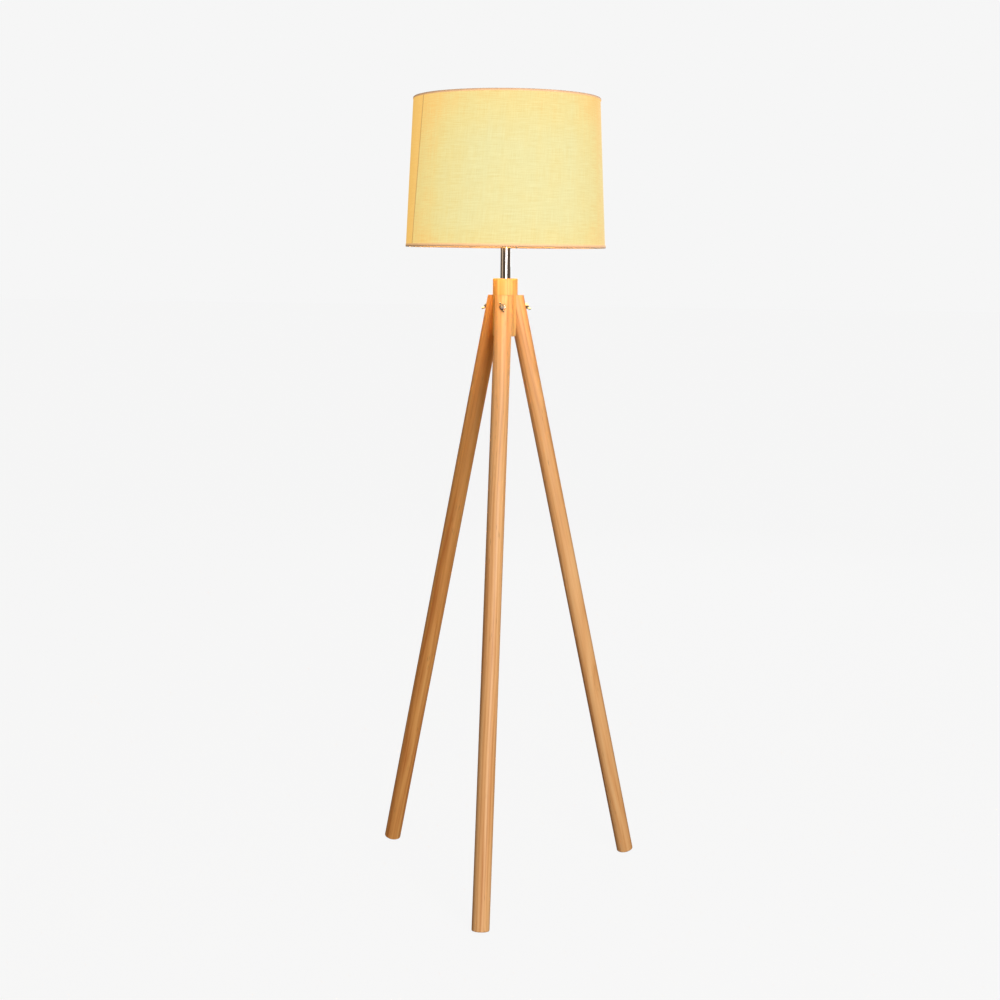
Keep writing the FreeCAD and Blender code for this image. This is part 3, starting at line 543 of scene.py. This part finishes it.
# The light, middle and dark tones of each piece of wood, and one for all sawn ends. The pieces differ
# partly
# as wood does and partly as painted light: the left leg's deeper orange and the hub's yellower tone stand
# for the bulb's warm light on them.
LEG_TONES = {
    "front": (srgb(246, 198, 142), srgb(234, 177, 117), srgb(200, 132, 73)),
    "right": (srgb(247, 196, 136), srgb(233, 173, 111), srgb(200, 132, 72)),
    "left": (srgb(251, 193, 120), srgb(241, 172, 96), srgb(210, 129, 62)),
}
HUB_TONES = (srgb(241, 204, 140), srgb(231, 186, 116), srgb(201, 145, 79))
END_TONE = srgb(176, 122, 76)
for number, side in enumerate(SIDES):
    out = JOINTS[f"{side}_leg_draw_off"]["axis"]
    around = math.atan2(out[0], -out[1])
    turns = [((0, 0, 1), -around), ((1, 0, 0), LEG_TILT)]
    other_wood = (0.37 * number, 0.21 * number, 1.7 * number)
    wear(NODES[f"leg_{side}"], wood(f"{side}_leg_wood", turns, other_wood, LEG_TONES[side], END_TONE))
wear(NODES["hub"], wood("hub_wood", [], (3.1, 1.2, 0.4), HUB_TONES, END_TONE))

nickel = bright_metal("nickel_plate", (0.80, 0.78, 0.74), 0.16, pitting=0.12)
zinc = bright_metal("zinc_plate", (0.62, 0.63, 0.65), 0.32)
for side in SIDES:
    wear(NODES[f"wing_nut_{side}"], nickel)
    wear(NODES[f"washer_{side}"], nickel)
for node in ("leg_studs", "threaded_pipe", "pipe_washer", "holder_set_screw"):
    wear(NODES[node], zinc)
wear(NODES["neck_tube"], bright_metal("chrome_tube", (0.74, 0.71, 0.68), 0.07, grain=(1, 1, 0.05)))
brass = bright_metal("brass", (0.83, 0.62, 0.29), 0.28)
for node in ("pipe_nut", "screw_shell", "centre_contact", "terminal_screws", "bulb_contact"):
    wear(NODES[node], brass)
white_plastic = moulded("white_plastic", srgb(236, 232, 222), 0.36)
for node in ("holder_cap", "holder_barrel", "shade_ring"):
    wear(NODES[node], white_plastic)
wear(NODES["holder_insert"], moulded("porcelain", srgb(240, 236, 226), 0.18, Coat_Weight=0.5))
wear(NODES["cable_bushing"], moulded("black_plastic", srgb(28, 28, 30), 0.42))
white_wire = moulded("white_wire", srgb(232, 230, 222), 0.4)
for node in ("shade_spider", "shade_bottom_wire", "shade_top_wire"):
    wear(NODES[node], white_wire)
glass = clear_glass("bulb_glass")
for node in ("bulb_glass", "bulb_stem"):
    wear(NODES[node], glass)
    NODES[node].visible_shadow = False
wear(NODES["bulb_cap"], bright_metal("bulb_cap_metal", (0.76, 0.75, 0.72), 0.3))
wear(NODES["bulb_insulator"], moulded("black_glass", srgb(20, 18, 24), 0.12))
wear(NODES["bulb_filaments"], lit_stick("lit_stick"))


# Stage, light and camera --------------------------------------------------------------------------

def stage():
    """A wide pale floor that is nearly all its own light, so only soft contact shadows show on it."""
    mesh = bpy.data.meshes.new("floor")
    reach = 40
    corners = [(-reach, -reach, 0), (reach, -reach, 0), (reach, reach, 0), (-reach, reach, 0)]
    mesh.from_pydata(corners, [], [(0, 1, 2, 3)])
    floor = bpy.data.objects.new("floor", mesh)
    bpy.context.scene.collection.objects.link(floor)
    look = Look("pale_floor", Roughness=1.0, Specular_IOR_Level=0.0, Base_Color=(0.03, 0.03, 0.03, 1))
    look.set("Emission Color", (PAPER_WHITE, PAPER_WHITE, PAPER_WHITE, 1))
    look.set("Emission Strength", 0.985)
    wear(floor, look)
    floor.visible_diffuse = False
    floor.visible_glossy = False


def room():
    """The camera sees plain paper white past the floor. Light and reflections come from a dim warm room."""
    world = bpy.data.worlds.new("room")
    bpy.context.scene.world = world
    world.use_nodes = True
    tree = world.node_tree
    seen = tree.nodes["Background"]
    seen.inputs["Color"].default_value = (PAPER_WHITE, PAPER_WHITE, PAPER_WHITE, 1)
    lit = tree.nodes.new("ShaderNodeBackground")
    towards = tree.nodes.new("ShaderNodeTexCoord")
    split = tree.nodes.new("ShaderNodeSeparateXYZ")
    shade = tree.nodes.new("ShaderNodeValToRGB")
    tree.links.new(towards.outputs["Generated"], split.inputs[0])
    tree.links.new(split.outputs["Z"], shade.inputs[0])
    tree.links.new(shade.outputs[0], lit.inputs["Color"])
    shade.color_ramp.elements[0].position = 0.12
    shade.color_ramp.elements[0].color = (*ROOM_WALL, 1)
    shade.color_ramp.elements[1].position = 0.6
    shade.color_ramp.elements[1].color = (*ROOM_CEILING, 1)
    ray = tree.nodes.new("ShaderNodeLightPath")
    choose = tree.nodes.new("ShaderNodeMixShader")
    tree.links.new(ray.outputs["Is Camera Ray"], choose.inputs[0])
    tree.links.new(lit.outputs[0], choose.inputs[1])
    tree.links.new(seen.outputs[0], choose.inputs[2])
    tree.links.new(choose.outputs[0], tree.nodes["World Output"].inputs["Surface"])


def area_light(name, turn, distance, height, size, watts, colour=(1, 1, 1)):
    """A softbox at a turn to the right of the camera, aimed at the lamp's upper half."""
    lamp = bpy.data.lights.new(name, "AREA")
    lamp.shape = "RECTANGLE"
    lamp.size, lamp.size_y = size
    lamp.energy = watts
    lamp.color = colour
    obj = bpy.data.objects.new(name, lamp)
    bpy.context.scene.collection.objects.link(obj)
    angle = VIEW_FROM + turn
    obj.location = (distance * math.cos(angle), distance * math.sin(angle), height)
    aim = LIGHTS_AIM - obj.location
    obj.rotation_euler = aim.to_track_quat("-Z", "Y").to_euler()


def bulb_light():
    """The warm light of the sticks inside the bulb."""
    lamp = bpy.data.lights.new("bulb_light", "POINT")
    lamp.energy = 4.0
    lamp.color = (1.0, 0.62, 0.18)
    lamp.shadow_soft_size = 0.022
    obj = bpy.data.objects.new("bulb_light", lamp)
    bpy.context.scene.collection.objects.link(obj)
    low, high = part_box("bulb_filaments")
    obj.location = (low + high) / 2
    obj.visible_transmission = False
    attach(obj, "bulb")


def camera():
    eye = bpy.data.cameras.new("camera")
    eye.lens = CAMERA_LENS
    eye.sensor_width = CAMERA_SENSOR
    obj = bpy.data.objects.new("camera", eye)
    bpy.context.scene.collection.objects.link(obj)
    x, y = CAMERA_DISTANCE * math.cos(VIEW_FROM), CAMERA_DISTANCE * math.sin(VIEW_FROM)
    turn = Matrix.Rotation(VIEW_TURN + CAMERA_ASIDE, 4, "Z")
    facing = turn @ Matrix.Rotation(math.pi / 2 - CAMERA_PITCH, 4, "X")
    place = Matrix.Translation((x, y, CAMERA_HEIGHT))
    obj.matrix_world = place @ facing @ Matrix.Rotation(CAMERA_ROLL, 4, "Z")
    bpy.context.scene.camera = obj


stage()
room()
area_light("key", math.radians(22), distance=3.3, height=1.7, size=(1.4, 2.8), watts=108)
area_light("fill", math.radians(-75), distance=3.5, height=1.6, size=(1.5, 2.2), watts=7,
           colour=(1.0, 0.78, 0.55))
area_light("rear", math.radians(165), distance=3.6, height=2.2, size=(2.0, 2.0), watts=35)
bulb_light()
camera()
bpy.context.scene.view_settings.view_transform = "Standard"
